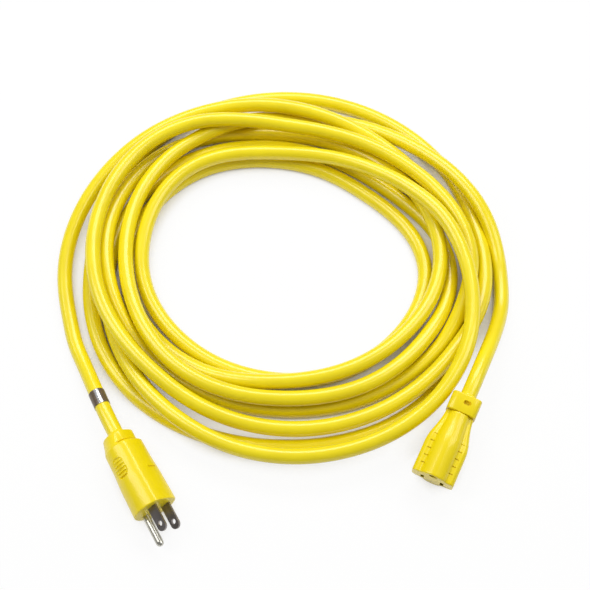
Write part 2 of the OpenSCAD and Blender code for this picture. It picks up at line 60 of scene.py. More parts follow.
# ---- Sizes and places, as in the source ----------------------------------------------------
CORD_D = 10.0
LAY_ROOM = 1.7
COIL_AT = (0.0, 24.0)
PLUG_AT = (-102.0, -100.5)
CONN_AT = (116.0, -78.5)
PLUG_HEADING = -60.3
CONN_HEADING = -115.6
PLUG_ROLL = -52.0
CONN_TIP = 8.0
PLUG_LEN = 53.0
CONN_LEN = 56.0
PLUG_JACKET_IN = 12.0
CONN_JACKET_IN = 14.0
PLUG_FACE_R = 13.7
PLUG_REAR_R = 12.3
PLUG_FLAT = 11.8
PLUG_REAR_FLAT = 10.5
PLUG_COLLAR_LEN = 7.0
PLUG_COLLAR_D = 19.6
PLUG_BODY_X = 8.2
PLUG_FACE_WALL = 7.0
GRIP_X = 23.0
BLADE_PITCH = 12.7
BLADE_OFF = 3.3
GROUND_DROP = 11.9
GROUND_OFF = BLADE_OFF - GROUND_DROP
BLADE_T = 1.52
BLADE_W = 6.35
PIN_ROOT_D = 4.77 - 0.5
PIN_D = 4.77
GAP = 0.06
WIRE_D = 3.1
WIRE_RING_R = (WIRE_D + 0.4) / math.sqrt(3)
BRIDGE_X = 26.0
BRIDGE_END = PLUG_LEN - PLUG_FACE_WALL
CONN_W = 27.0
WING_TOP = 7.1
ARCH_TOP = 12.5
ARCH_R = 9.0
CONN_COLLAR_LEN = 12.0
CONN_COLLAR_W = 19.2
CONN_COLLAR_H = 16.6
NECK_X = CONN_COLLAR_LEN + 0.8
CARRIER_X = 32.0
CARRIER_END = 53.4
CONTACT_END = 53.0
NEUTRAL_SLOT = 8.2
LINE_SLOT = 6.8
SLOT_W = 2.2
FACE_WALL = 0.6
GROUND_HOLE_D = 5.4
SLOT_OFF = -BLADE_OFF
HOLE_OFF = -GROUND_OFF
KEEL_R = 6.0
WING_BOTTOM = -3.3 - 5.5
PLUG_H = PLUG_FACE_R
CONN_H = (KEEL_R - WING_BOTTOM) * math.cos(math.radians(CONN_TIP)) + CONN_LEN * math.sin(math.radians(CONN_TIP))
PLUG_ROUTE = [(-112.5, -81, 12.5), (-118, -70, 10), (-123.5, -58.5, 7.5), (-129.5, -46, 5)]
CONN_ROUTE = [(128.5, -51.5, 20.5), (136, -35, 14.5), (141.5, -21, 9), (145.5, -8, 5)]
LOOP_R = [
    [141, 147, 136, 120, 117, 126, 134, 128],
    [129, 126, 136, 139, 139, 136, 127, 120],
    [118, 125, 127, 104, 109, 127, 113, 103],
    [107, 118, 123, 106, 105, 107, 94, 88],
    [98, 107, 100, 87, 82, 97, 91, 85],
    [87, 96, 98, 84, 93, 119, 140, 138],
    [127, 119, 110, 96, 95, 115, 110, 100],
    [104, 106, 114, 117, 130, 147, 140, 130],
]
LOOP_Z = [
    [0, 0, 1, 1, 0.4, 0, 0, 0],
    [0, 0, 0, 0, 0, 0.5, 1, 0.8],
    [1, 1.8, 1.9, 1.2, 1, 1.3, 0, 0],
    [0, 1, 0.2, 0, 0.4, 1, 1, 1],
    [0, 0, 0, 0, 0, 0, 0, 0],
    [0.2, 0.4, 0.9, 1, 1.3, 2.2, 1.4, 0.9],
    [1, 0, 0, 0, 0, 0, 1, 1],
    [1, 1, 1, 0.3, 0.2, 0.4, 0, 0],
]
BEARINGS = 8
RINGS = 24
FIRST = 2
LAST = 7 * RINGS + 15
SETTLE_ROUNDS = 90
FREE_ROUNDS = 15
FLOOR_H = 0.4 * CORD_D


# ---- The cord's line -----------------------------------------------------------------------
def between(a, b, c, d, t):
    return b + 0.5 * t * (c - a + t * (2 * a - 5 * b + 4 * c - d + t * (3 * (b - c) + d - a)))


def plan_value(plan, i):
    k = max(0, min(len(plan) * BEARINGS - 1, i))
    return plan[k // BEARINGS][k % BEARINGS]


def at_ring(plan, ring):
    s = ring * BEARINGS / RINGS
    i = math.floor(s)
    return between(*(plan_value(plan, i + k) for k in (-1, 0, 1, 2)), s - i)


def settle(r, z, clear):
    """Presses the planned loops apart to clear and lets them sink, with less and less pull back to the plan."""
    n = len(r)
    plan_r = list(r)
    for rounds in range(SETTLE_ROUNDS, 0, -1):
        push_r, push_z = [0.0] * n, [0.0] * n
        for k in range(n):
            for j in range(k % RINGS, n, RINGS):
                if j == k:
                    continue
                a, b = r[k] - r[j], z[k] - z[j]
                d = math.hypot(a, b)
                if d < clear:
                    push_r[k] += 0.35 * a * (clear - d) / d
                    push_z[k] += 0.6 * b * (clear - d) / d
        off = [r[k] + push_r[k] - plan_r[k] for k in range(n)]
        pz = [z[k] + push_z[k] - 0.03 for k in range(n)]
        pull = 0.08 * max(0, rounds - FREE_ROUNDS) / (SETTLE_ROUNDS - FREE_ROUNDS)
        nr, nz = [], []
        for k in range(n):
            if k < 2 or k > n - 3:
                nr.append(r[k])
            else:
                nr.append(plan_r[k] + (1 - pull) * off[k] + 0.12 * ((off[k - 1] + off[k + 1]) / 2 - off[k]))
            if k < 1 or k > n - 2:
                nz.append(max(FLOOR_H, pz[k]))
            else:
                nz.append(max(FLOOR_H, pz[k] + 0.12 * ((pz[k - 1] + pz[k + 1]) / 2 - pz[k])))
        r, z = nr, nz
    return r, z


def bearing(ring):
    return math.radians(225.0 - ring * 360.0 / RINGS)


def along(ring):
    return Vector((math.sin(bearing(ring)), -math.cos(bearing(ring)), 0.0))


def coil_points(steps=6):
    r = [at_ring(LOOP_R, k) for k in range(FIRST, LAST + 1)]
    z = [FLOOR_H + max(0.0, at_ring(LOOP_Z, k)) * CORD_D for k in range(FIRST, LAST + 1)]
    r, z = settle(r, z, CORD_D + LAY_ROOM)
    n = len(r)

    def pick(v, i):
        return v[max(0, min(n - 1, i))]

    out = []
    for k in range(n - 1):
        for s in range(steps):
            t = s / steps
            rr = between(*(pick(r, k + i) for i in (-1, 0, 1, 2)), t)
            zz = max(FLOOR_H, between(*(pick(z, k + i) for i in (-1, 0, 1, 2)), t))
            a = bearing(FIRST + k + t)
            out.append(Vector((COIL_AT[0] + rr * math.cos(a), COIL_AT[1] + rr * math.sin(a), zz)))
    a = bearing(LAST)
    out.append(Vector((COIL_AT[0] + r[-1] * math.cos(a), COIL_AT[1] + r[-1] * math.sin(a), z[-1])))
    return out


def plug_point(x):
    h = math.radians(PLUG_HEADING)
    return Vector((PLUG_AT[0] + x * math.cos(h), PLUG_AT[1] + x * math.sin(h), PLUG_H))


def conn_point(x):
    h, t = math.radians(CONN_HEADING), math.radians(CONN_TIP)
    return Vector((CONN_AT[0] + x * math.cos(t) * math.cos(h), CONN_AT[1] + x * math.cos(t) * math.sin(h),
                   CONN_H - x * math.sin(t)))


def through(p0, p1, p2, p3, t):
    """Centripetal Catmull-Rom between p1 and p2."""
    t0 = 0.0
    t1 = t0 + math.sqrt((p1 - p0).length)
    t2 = t1 + math.sqrt((p2 - p1).length)
    t3 = t2 + math.sqrt((p3 - p2).length)
    u = t1 + (t2 - t1) * t
    a1 = (t1 - u) / (t1 - t0) * p0 + (u - t0) / (t1 - t0) * p1
    a2 = (t2 - u) / (t2 - t1) * p1 + (u - t1) / (t2 - t1) * p2
    a3 = (t3 - u) / (t3 - t2) * p2 + (u - t2) / (t3 - t2) * p3
    b1 = (t2 - u) / (t2 - t0) * a1 + (u - t0) / (t2 - t0) * a2
    b2 = (t3 - u) / (t3 - t1) * a2 + (u - t1) / (t3 - t1) * a3
    return (t2 - u) / (t2 - t1) * b1 + (u - t1) / (t2 - t1) * b2


def resample(points, step):
    out, carry = [points[0].copy()], 0.0
    for a, b in zip(points, points[1:]):
        d = (b - a).length
        s = step - carry
        while s <= d:
            out.append(a.lerp(b, s / d))
            s += step
        carry = d - (s - step)
    if (out[-1] - points[-1]).length > 0.3 * step:
        out.append(points[-1].copy())
    else:
        out[-1] = points[-1].copy()
    return out


def cord_line():
    coil = coil_points()
    head = [plug_point(x) for x in (PLUG_JACKET_IN + 4, PLUG_JACKET_IN, 0, -CORD_D)]
    head += [Vector(p) for p in PLUG_ROUTE]
    start = coil[0] - CORD_D * along(FIRST)
    head += [start - CORD_D * along(FIRST), start]
    end = coil[-1] + CORD_D * along(LAST)
    tail = [end, end + CORD_D * along(LAST)] + [Vector(p) for p in reversed(CONN_ROUTE)]
    tail += [conn_point(x) for x in (-CORD_D, 0, CONN_JACKET_IN, CONN_JACKET_IN + 4)]
    keys = head + coil + tail
    fine = []
    for i in range(1, len(keys) - 2):
        n = max(1, round((keys[i + 1] - keys[i]).length / 3.0))
        for s in range(n):
            fine.append(through(keys[i - 1], keys[i], keys[i + 1], keys[i + 2], s / n))
    fine.append(keys[-2])
    line = resample(fine, 4.0)
    for _ in range(6):
        line = [line[0], line[1]] + [
            0.25 * line[i - 1] + 0.5 * line[i] + 0.25 * line[i + 1] for i in range(2, len(line) - 2)
        ] + [line[-2], line[-1]]
    return [p * MM for p in line]


# ---- Making meshes -------------------------------------------------------------------------
def new_object(name, mesh):
    obj = bpy.data.objects.new(name, mesh)
    bpy.context.scene.collection.objects.link(obj)
    return obj


def sweep(name, line, radius, sides):
    """Closed round tube along a line, none of it under the floor; its UV map runs round it and along it in metres."""
    bm = bmesh.new()
    uv = bm.loops.layers.uv.new("lay")
    rings, lengths = [], [0.0]
    for i in range(1, len(line)):
        lengths.append(lengths[-1] + (line[i] - line[i - 1]).length)
    for i, p in enumerate(line):
        t = (line[min(i + 1, len(line) - 1)] - line[max(i - 1, 0)]).normalized()
        side = t.cross(Vector((0, 0, 1))).normalized()
        up = side.cross(t)
        ring = []
        for j in range(sides):
            a = 2 * math.pi * (j + 0.5) / sides
            q = p + radius * (math.cos(a) * side + math.sin(a) * up)
            q.z = max(0.0, q.z)
            ring.append(bm.verts.new(q))
        rings.append(ring)
    for i in range(len(rings) - 1):
        for j in range(sides):
            k = (j + 1) % sides
            f = bm.faces.new((rings[i][j], rings[i][k], rings[i + 1][k], rings[i + 1][j]))
            f.smooth = True
            for loop, (ii, jj) in zip(f.loops, ((i, j), (i, j + 1), (i + 1, j + 1), (i + 1, j))):
                loop[uv].uv = (jj / sides, lengths[ii])
    bm.faces.new(list(reversed(rings[0])))
    bm.faces.new(rings[-1])
    bmesh.ops.recalc_face_normals(bm, faces=bm.faces)
    mesh = bpy.data.meshes.new(name)
    bm.to_mesh(mesh)
    bm.free()
    return new_object(name, mesh)


class Shells:
    """Closed shells gathered in one mesh, in a plug's own axes with +X along it, in millimetres."""

    def __init__(self):
        self.bm = bmesh.new()

    def rings(self, rings):
        vs = [[self.bm.verts.new(p) for p in ring] for ring in rings]
        n = len(vs[0])
        for a, b in zip(vs, vs[1:]):
            for j in range(n):
                k = (j + 1) % n
                self.bm.faces.new((a[j], a[k], b[k], b[j]))
        self.bm.faces.new(list(reversed(vs[0])))
        self.bm.faces.new(vs[-1])

    def box(self, x0, x1, y0, y1, z0, z1):
        self.rings([[(x, y0, z0), (x, y1, z0), (x, y1, z1), (x, y0, z1)] for x in (x0, x1)])

    def rod(self, x0, x1, y, z, r, n=48):
        turn = [2 * math.pi * i / n for i in range(n)]
        self.rings([[(x, y + r * math.cos(t), z + r * math.sin(t)) for t in turn] for x in (x0, x1)])

    def slant(self, x0, x1, angle, goal, r, n=32):
        """A conductor's hole: a round rod that slants from the jacket out to its contact."""
        a = Vector((x0, WIRE_RING_R * math.cos(math.radians(angle)), WIRE_RING_R * math.sin(math.radians(angle))))
        b = Vector((x1, goal[0], goal[1]))
        v = (b - a).normalized()
        side = v.cross(Vector((0, 0, 1))).normalized()
        up = side.cross(v)
        both = []
        for at in (a, b):
            ring = []
            for i in range(n):
                t = 2 * math.pi * i / n
                o = r * (math.cos(t) * side + math.sin(t) * up)
                ring.append(at + o - v * (o.x / v.x))
            both.append(ring)
        self.rings(both)

    def prism(self, outline, z0, z1):
        self.rings([[(x, y, z) for x, y in outline] for z in (z0, z1)])

    def object(self, name, place):
        bmesh.ops.recalc_face_normals(self.bm, faces=self.bm.faces)
        self.bm.transform(place @ Matrix.Scale(MM, 4))
        mesh = bpy.data.meshes.new(name)
        self.bm.to_mesh(mesh)
        self.bm.free()
        return new_object(name, mesh)


def carve(obj, cutter, crease=32.0):
    """Takes the cutter's shells out of the piece, and keeps edges sharper than crease."""
    cut = obj.modifiers.new("cut", "BOOLEAN")
    cut.operation = "DIFFERENCE"
    cut.solver = "EXACT"
    cut.use_self = True
    cut.object = cutter
    bpy.context.view_layer.update()
    mesh = bpy.data.meshes.new_from_object(obj.evaluated_get(bpy.context.evaluated_depsgraph_get()))
    obj.modifiers.clear()
    old, obj.data = obj.data, mesh
    mesh.name = obj.name
    bpy.data.meshes.remove(old)
    bpy.data.objects.remove(cutter)
    mesh.shade_smooth()
    mesh.set_sharp_from_angle(angle=math.radians(crease))


def step(t):
    t = max(0.0, min(1.0, t))
    return t * t * (3 - 2 * t)


def softmin(a, b, k):
    h = max(k - abs(a - b), 0.0) / k
    return min(a, b) - h * h * k * 0.25


def placed(at, height, heading, roll=0.0, tip=0.0):
    return (Matrix.Translation(Vector((at[0], at[1], height)) * MM)
            @ Matrix.Rotation(math.radians(heading), 4, "Z")
            @ Matrix.Rotation(math.radians(tip), 4, "Y")
            @ Matrix.Rotation(math.radians(roll), 4, "X"))


PLUG_PLACE = placed(PLUG_AT, PLUG_H, PLUG_HEADING, roll=PLUG_ROLL)
CONN_PLACE = placed(CONN_AT, CONN_H, CONN_HEADING, tip=CONN_TIP)


# ---- The plug's moulding -------------------------------------------------------------------
def plug_radius(x):
    if x < PLUG_BODY_X + 1.4:
        return PLUG_REAR_R - 1.4 + math.sqrt(max(0.0, 1.96 - (PLUG_BODY_X + 1.4 - x) ** 2))
    r = PLUG_REAR_R + 0.2 * step((x - PLUG_BODY_X) / 12)
    r += (PLUG_FACE_R - 0.3 - PLUG_REAR_R - 0.2) * step((x - PLUG_BODY_X - 11) / 17)
    r += 0.3 * step((x - PLUG_BODY_X - 26) / 18)
    if x > PLUG_LEN - 0.7:
        r += math.sqrt(max(0.0, 0.49 - (x - PLUG_LEN + 0.7) ** 2)) - 0.7
    return r


def grip(x, z):
    """How deep the grip pocket is there, from 0 to 1: a long round pocket with five bars left in it."""
    u = x - GRIP_X
    edge = 4.6 - math.hypot(max(0.0, abs(u) - 2.2), z)
    deep = step((edge + 0.15) / 0.5)
    for k in range(-2, 3):
        bar = math.hypot(u - 2.35 * k, max(0.0, abs(z) - 3.6 + 0.25 * k * k))
        deep *= 1 - step((0.72 - bar) / 0.3)
    return deep


def make_plug_moulding():
    turns = []
    for side in (0, 180):
        turns += [side + a for a in range(-28, 29)]
        turns += [side + 28 + 1.55 * i for i in range(1, 80)]
    turns = [math.radians(t) for t in turns]

    def full(x, r, t):
        """Radius where the round side runs back to the cord; the groove is only behind the flat."""
        round_side = step((0.62 - math.sin(t)) / 0.3)
        return max(r, r + round_side * (PLUG_COLLAR_D / 2 - 0.9 + 3.2 * step((x + 0.5) / 10.5) - r))

    def circle(x, r, fill=False):
        return [(x, q * math.cos(t), q * math.sin(t)) for t, q in ((t, full(x, r, t) if fill else r) for t in turns)]

    def collar(x, inset):
        ring = []
        for t in turns:
            r = softmin(PLUG_COLLAR_D / 2, 8.2 / max(0.05, abs(math.sin(t))), 1.8) - inset
            r = full(x, r, t) if x > 0.5 else r
            ring.append((x, r * math.cos(t), r * math.sin(t)))
        return ring

    def body(x):
        ring = []
        flat = PLUG_REAR_FLAT + (PLUG_FLAT - PLUG_REAR_FLAT) * (x - PLUG_BODY_X) / (PLUG_LEN - PLUG_BODY_X)
        if x < PLUG_BODY_X + 1.4 or x > PLUG_LEN - 0.7:
            most = PLUG_REAR_R if x < 30 else PLUG_FACE_R
            flat -= 0.6 * (most - plug_radius(x))
        for t in turns:
            r = plug_radius(x)
            if math.sin(t) > 0.3:
                r = softmin(r, flat / math.sin(t), 3.0)
            if x < 14:
                r = full(x, r, t)
            if abs(x - GRIP_X) < 8 and abs(math.cos(t)) > 0.85:
                floor = (PLUG_REAR_R - 0.5) / abs(math.cos(t))
                r -= max(0.0, r - floor) * grip(x, r * math.sin(t))
            ring.append((x, r * math.cos(t), r * math.sin(t)))
        return ring

    rings = [circle(-2.4, 5.08), circle(-1.4, 5.3), circle(-0.6, 5.75), circle(-0.1, 6.6)]
    rings += [collar(0.0, 1.0), collar(0.25, 0.42), collar(0.6, 0.12), collar(1.0, 0.0)]
    rings += [collar(PLUG_COLLAR_LEN - 0.6, 0.0), collar(PLUG_COLLAR_LEN - 0.2, 0.15), collar(PLUG_COLLAR_LEN, 0.5)]
    rings += [circle(PLUG_COLLAR_LEN + 0.05, 7.6, True), circle(PLUG_BODY_X - 0.05, 7.6, True)]
    xs = [PLUG_BODY_X + d for d in (0.0, 0.1, 0.3, 0.6, 1.0, 1.4)] + [11.5, 13.0]
    xs += [14.5 + 0.22 * i for i in range(78)]
    xs += [32.5 + 1.5 * i for i in range(14)] + [PLUG_LEN - d for d in (0.7, 0.4, 0.2, 0.08, 0.0)]
    rings += [body(x) for x in xs]
    shape = Shells()
    shape.rings(rings)
    plug = shape.object("plug_moulding", PLUG_PLACE)

    cut = Shells()
    cut.rod(-4, PLUG_JACKET_IN + GAP, 0, 0, CORD_D / 2 + GAP)
    goals = ((-BLADE_PITCH / 2, BLADE_OFF), (BLADE_PITCH / 2, BLADE_OFF), (0, GROUND_OFF))
    for angle, goal in zip((150, 30, -90), goals):
        cut.slant(PLUG_JACKET_IN, BRIDGE_X, angle, goal, WIRE_D / 2 + GAP)
    half = (BLADE_W + 2) / 2
    cut.box(BRIDGE_X - GAP, BRIDGE_END + GAP, -BLADE_PITCH / 2 - 2.11, BLADE_PITCH / 2 + 2.11,
            BLADE_OFF - half - GAP, BLADE_OFF + half + GAP)
    cut.box(BRIDGE_X - GAP, BRIDGE_END + GAP, -PIN_D / 2 - 0.96, PIN_D / 2 + 0.96, GROUND_OFF, BLADE_OFF - half + 1)
    cut.rod(BRIDGE_X - GAP, BRIDGE_END + GAP, 0, GROUND_OFF, PIN_D / 2 + 0.61)
    for y in (-BLADE_PITCH / 2, BLADE_PITCH / 2):
        cut.box(BRIDGE_END - 1, PLUG_LEN + 2, y - BLADE_T / 2 - GAP, y + BLADE_T / 2 + GAP,
                BLADE_OFF - BLADE_W / 2 - GAP, BLADE_OFF + BLADE_W / 2 + GAP)
    cut.rod(BRIDGE_END - 1, PLUG_LEN + 2, 0, GROUND_OFF, PIN_ROOT_D / 2 + GAP)
    # short witness groove across the flat
    cut.box(29.2, 30, -1.5, 5.5, PLUG_REAR_FLAT - 0.5, PLUG_REAR_FLAT + 4)
    carve(plug, cut.object("plug_cut", PLUG_PLACE))
    return plug


# ---- The connector's moulding --------------------------------------------------------------
def conn_outline(share):
    """Outline across the connector, from the narrow neck, 0, to the full face, 1: wings, rounded top and keel."""
    def m(small, full):
        return small + share * (full - small)

    half_w, top, bottom = m(8.9, CONN_W / 2), m(4.2, WING_TOP), m(-5.6, WING_BOTTOM)
    bevel, ar, at, kr = m(1.4, 2), m(6.8, ARCH_R), m(8.6, ARCH_TOP), m(3.2, KEEL_R)
    az = at - ar
    reach = math.asin((top - az) / ar)
    foot = ar * math.cos(reach)
    right = [(kr, bottom, 10), (half_w - bevel, bottom, 6), (half_w, bottom + bevel, 20),
             (half_w, top - bevel, 6), (half_w - bevel, top, 6), (foot, top, 0)]
    out = []
    for (y0, z0, n), (y1, z1, _) in zip(right, right[1:]):
        out += [(y0 + (y1 - y0) * i / n, z0 + (z1 - z0) * i / n) for i in range(n)]
    left = [(-y, z) for y, z in reversed(out[1:])]
    arch = [reach + (math.pi - 2 * reach) * i / 40 for i in range(41)]
    keel = [math.pi + math.pi * i / 32 for i in range(33)]
    line = out + [(ar * math.cos(a), az + ar * math.sin(a)) for a in arch] + left
    line += [(kr * math.cos(a), bottom + kr * math.sin(a)) for a in keel[:-1]]
    n = len(line)
    for _ in range(5):
        line = [(0.25 * line[i - 1][0] + 0.5 * line[i][0] + 0.25 * line[(i + 1) % n][0],
                 0.25 * line[i - 1][1] + 0.5 * line[i][1] + 0.25 * line[(i + 1) % n][1]) for i in range(n)]
    return line


def conn_share(x):
    table = ((12.2, 0), (15, 0.05), (18, 0.15), (22, 0.34), (26, 0.58), (30, 0.82), (34, 0.97), (38, 1))
    for i in range(len(table) - 1):
        if x <= table[i + 1][0]:
            a, b = table[i], table[i + 1]
            before, after = table[max(0, i - 1)][1], table[min(len(table) - 1, i + 2)][1]
            return min(1.0, max(0.0, between(before, a[1], b[1], after, (x - a[0]) / (b[0] - a[0]))))
    return 1.0


def make_connector_moulding():
    narrow = conn_outline(0)
    turns = [math.atan2(z, y) for y, z in narrow]

    def circle(x, r):
        return [(x, r * math.cos(t), r * math.sin(t)) for t in turns]

    def collar(x, inset):
        ring = []
        for t in turns:
            a, b = CONN_COLLAR_W / 2 - inset, CONN_COLLAR_H / 2 - inset
            r = (abs(math.cos(t) / a) ** 5 + abs(math.sin(t) / b) ** 5) ** -0.2
            ring.append((x, r * math.cos(t), r * math.sin(t)))
        return ring

    def shell(x, inset=0.0):
        return [(x, y * (1 - inset / 13.5), z * (1 - inset / 12)) for y, z in conn_outline(conn_share(x))]

    end = CONN_COLLAR_LEN
    rings = [circle(-1.6, 5.08), circle(-0.9, 5.25), circle(-0.3, 5.6), circle(0.0, 6.3)]
    rings += [collar(0.02, 0.7), collar(0.2, 0.25), collar(0.5, 0.05), collar(0.9, 0.0)]
    rings += [collar(end - 0.5, 0.0), collar(end - 0.15, 0.15), collar(end, 0.5)]
    rings += [circle(end + 0.03, 6.2), circle(NECK_X - 0.5, 6.2)]
    rings += [shell(NECK_X - 0.45, 0.8), shell(NECK_X - 0.25, 0.25), shell(NECK_X + 0.1, 0.0)]
    xs = [NECK_X + 0.8 + 0.8 * i for i in range(52)]
    rings += [shell(x) for x in xs]
    rings += [shell(CONN_LEN - 0.7), shell(CONN_LEN - 0.35, 0.12), shell(CONN_LEN - 0.1, 0.4), shell(CONN_LEN, 0.7)]
    shape = Shells()
    shape.rings(rings)
    conn = shape.object("connector_moulding", CONN_PLACE)

    cut = Shells()
    cut.rod(-4, CONN_JACKET_IN + GAP, 0, 0, CORD_D / 2 + GAP)
    goals = ((-BLADE_PITCH / 2, SLOT_OFF), (BLADE_PITCH / 2, SLOT_OFF), (0, HOLE_OFF))
    for angle, goal in zip((-150, -30, 90), goals):
        cut.slant(CONN_JACKET_IN, CARRIER_X, angle, goal, WIRE_D / 2 + GAP)
    half = NEUTRAL_SLOT / 2 + 0.45
    sleeve = PIN_D + 1.15
    cut.box(CARRIER_X - GAP, CARRIER_END + GAP, -BLADE_PITCH / 2 - 3.06, BLADE_PITCH / 2 + 3.06,
            SLOT_OFF - half - GAP, SLOT_OFF + half + GAP)
    cut.box(CARRIER_X - GAP, CARRIER_END + GAP, -sleeve / 2 - 1.26, sleeve / 2 + 1.26, SLOT_OFF, HOLE_OFF + GAP)
    cut.rod(CARRIER_X, CONTACT_END + GAP, 0, HOLE_OFF, sleeve / 2 + GAP)
    # behind the openings the face is a thin wall
    for y, length in ((-BLADE_PITCH / 2, LINE_SLOT), (BLADE_PITCH / 2, NEUTRAL_SLOT)):
        low, high = SLOT_OFF - length / 2, SLOT_OFF + length / 2
        cut.box(CARRIER_END - 1, CONN_LEN - FACE_WALL, y - 2.4, y + 2.4, low - 0.9, high + 0.9)
        cut.box(CARRIER_END - 1, CONN_LEN + 2, y - SLOT_W / 2, y + SLOT_W / 2, low, high)
    cut.rod(CONTACT_END, CONN_LEN - FACE_WALL, 0, HOLE_OFF, GROUND_HOLE_D / 2 + 0.5)
    cut.rod(CONTACT_END, CONN_LEN + 2, 0, HOLE_OFF, GROUND_HOLE_D / 2)
    # short grip marks along both feet of the rounded top
    for k in range(6):
        x = CONN_LEN - 6.5 - 4.9 * k
        for s in (-1, 1):
            y = s * ARCH_R
            cut.box(x, x + 0.6, y - 1.3, y + 1.3, WING_TOP - 0.8, WING_TOP + 1.8)
    # blind pocket on top of the collar
    half_turn = [math.pi * i / 16 for i in range(17)]
    pocket = [(end - 6.8 + 1.4 * math.cos(a), 2.4 + 1.4 * math.sin(a)) for a in half_turn]
    pocket += [(end - 6.8 - 1.4 * math.cos(a), 0.4 - 1.4 * math.sin(a)) for a in half_turn]
    cut.prism(pocket, CONN_COLLAR_H / 2 - 2.7, CONN_COLLAR_H / 2 + 2)
    carve(conn, cut.object("connector_cut", CONN_PLACE))
    return conn


# ---- Materials -----------------------------------------------------------------------------
def srgb(r, g, b):
    def lin(c):
        c /= 255.0
        return c / 12.92 if c <= 0.04045 else ((c + 0.055) / 1.055) ** 2.4
    return (lin(r), lin(g), lin(b), 1.0)


class Nodes:
    """Short names for building a material's nodes."""

    def __init__(self, name):
        self.mat = bpy.data.materials.new(name)
        self.mat.use_nodes = True
        self.tree = self.mat.node_tree
        self.shader = next(n for n in self.tree.nodes if n.type == "BSDF_PRINCIPLED")

    def add(self, kind, **values):
        node = self.tree.nodes.new(kind)
        for key, value in values.items():
            if key in node.inputs:
                node.inputs[key].default_value = value
            else:
                setattr(node, key, value)
        return node

    def link(self, a, b):
        self.tree.links.new(a, b)

    def set(self, **values):
        for key, value in values.items():
            self.shader.inputs[key.replace("_", " ")].default_value = value


def moulded(name, low, high, rough, bump, coat=0.0, twisted=False):
    """Moulded or extruded plastic: a slight drift of colour and gloss over a fine-grained skin."""
    n = Nodes(name)
    where = n.add("ShaderNodeTexCoord")
    drift = n.add("ShaderNodeTexNoise", Scale=38.0, Detail=3.0, Roughness=0.6)
    n.link(where.outputs["Object"], drift.inputs["Vector"])
    ramp = n.add("ShaderNodeValToRGB")
    ramp.color_ramp.elements[0].position = 0.35
    ramp.color_ramp.elements[0].color = low
    ramp.color_ramp.elements[1].position = 0.65
    ramp.color_ramp.elements[1].color = high
    n.link(drift.outputs["Fac"], ramp.inputs["Fac"])
    n.link(ramp.outputs["Color"], n.shader.inputs["Base Color"])
    gloss = n.add("ShaderNodeMapRange")
    gloss.inputs["From Min"].default_value = 0.3
    gloss.inputs["From Max"].default_value = 0.7
    gloss.inputs["To Min"].default_value = rough - 0.05
    gloss.inputs["To Max"].default_value = rough + 0.05
    n.link(drift.outputs["Fac"], gloss.inputs["Value"])
    n.link(gloss.outputs["Result"], n.shader.inputs["Roughness"])
    grain = n.add("ShaderNodeTexNoise", Scale=1400.0, Detail=4.0, Roughness=0.55)
    n.link(where.outputs["Object"], grain.inputs["Vector"])
    height = grain.outputs["Fac"]
    if twisted:
        # the three conductors inside show as a faint slow twist along the jacket
        twist = n.add("ShaderNodeSeparateXYZ")
        n.link(where.outputs["UV"], twist.inputs["Vector"])
        turn = n.add("ShaderNodeMath", operation="MULTIPLY_ADD")
        turn.inputs[1].default_value = 2 * math.pi * 3
        n.link(twist.outputs["X"], turn.inputs[0])
        run = n.add("ShaderNodeMath", operation="MULTIPLY")
        run.inputs[1].default_value = 2 * math.pi / 0.045
        n.link(twist.outputs["Y"], run.inputs[0])
        n.link(run.outputs[0], turn.inputs[2])
        wave = n.add("ShaderNodeMath", operation="SINE")
        n.link(turn.outputs[0], wave.inputs[0])
        both = n.add("ShaderNodeMath", operation="MULTIPLY_ADD")
        both.inputs[1].default_value = 2.0
        n.link(wave.outputs[0], both.inputs[0])
        n.link(height, both.inputs[2])
        height = both.outputs[0]
    relief = n.add("ShaderNodeBump", Strength=bump, Distance=0.00004)
    n.link(height, relief.inputs["Height"])
    n.link(relief.outputs["Normal"], n.shader.inputs["Normal"])
    n.set(Coat_Weight=coat, Coat_Roughness=0.22)
    n.shader.inputs["Specular IOR Level"].default_value = 0.2
    return n.mat


def plated(name, low, high, rough, lines=900.0):
    """Plated strip or rod: drawn lines along it, a little uneven."""
    n = Nodes(name)
    where = n.add("ShaderNodeTexCoord")
    drift = n.add("ShaderNodeTexNoise", Scale=120.0, Detail=4.0, Roughness=0.6)
    n.link(where.outputs["Object"], drift.inputs["Vector"])
    ramp = n.add("ShaderNodeValToRGB")
    ramp.color_ramp.elements[0].position = 0.3
    ramp.color_ramp.elements[0].color = low
    ramp.color_ramp.elements[1].position = 0.7
    ramp.color_ramp.elements[1].color = high
    n.link(drift.outputs["Fac"], ramp.inputs["Fac"])
    n.link(ramp.outputs["Color"], n.shader.inputs["Base Color"])
    # lines run along the plug's heading
    turn = n.add("ShaderNodeMapping")
    turn.vector_type = "TEXTURE"
    turn.inputs["Rotation"].default_value = (0.0, 0.0, math.radians(PLUG_HEADING))
    turn.inputs["Scale"].default_value = (60.0, 1.0, 1.0)
    n.link(where.outputs["Object"], turn.inputs["Vector"])
    drawn = n.add("ShaderNodeTexNoise", Scale=lines, Detail=3.0)
    n.link(turn.outputs["Vector"], drawn.inputs["Vector"])
    relief = n.add("ShaderNodeBump", Strength=0.05, Distance=0.00002)
    n.link(drawn.outputs["Fac"], relief.inputs["Height"])
    n.link(relief.outputs["Normal"], n.shader.inputs["Normal"])
    n.set(Metallic=1.0, Roughness=rough)
    return n.mat


